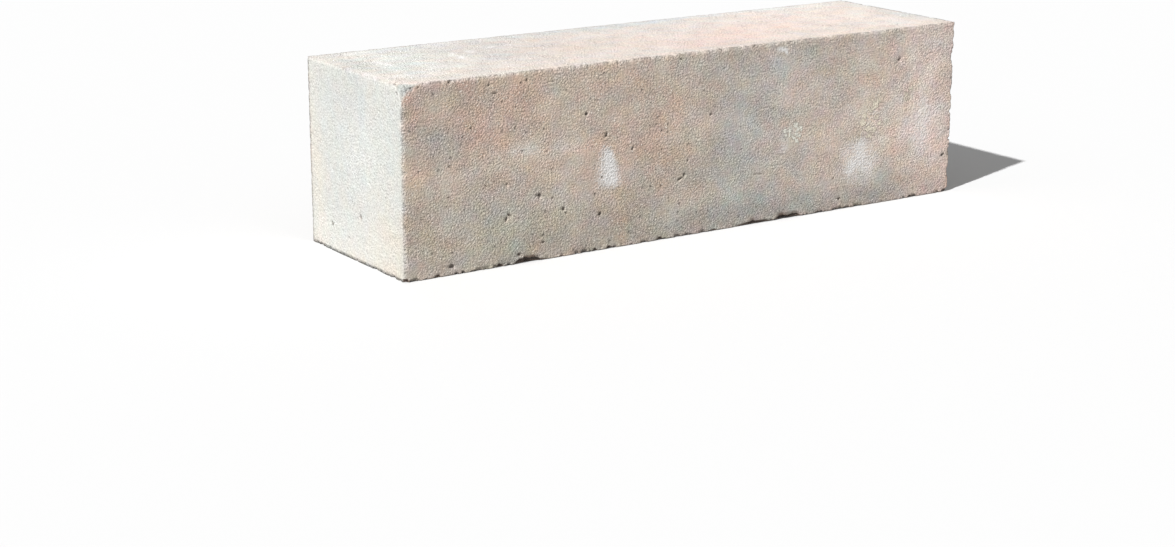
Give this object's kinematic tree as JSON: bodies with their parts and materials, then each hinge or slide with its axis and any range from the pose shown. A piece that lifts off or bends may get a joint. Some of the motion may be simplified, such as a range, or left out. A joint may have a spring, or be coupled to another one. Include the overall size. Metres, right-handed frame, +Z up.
{
  "type": "concrete wall block",
  "caption": "Solid square-section concrete block with plain faces and chipped edges, stacked in courses and butted end to end to build low garden and retaining walls.",
  "frame": {"origin": "middle of the lower bed, on the floor", "axes": "+X along the length, -Y out of the face seen in the wall, +Z up to the upper bed"},
  "size_m": [0.6, 0.165, 0.165],
  "materials": {
    "concrete": "dry-cast concrete of a sandy beige-brown with grey and pinkish clouds, white lime bloom, fine sandy grain and small open pores; the ends and the bed are paler"
  },
  "bodies": {
    "root": {"wall_block": "concrete"}
  },
  "joints": []
}
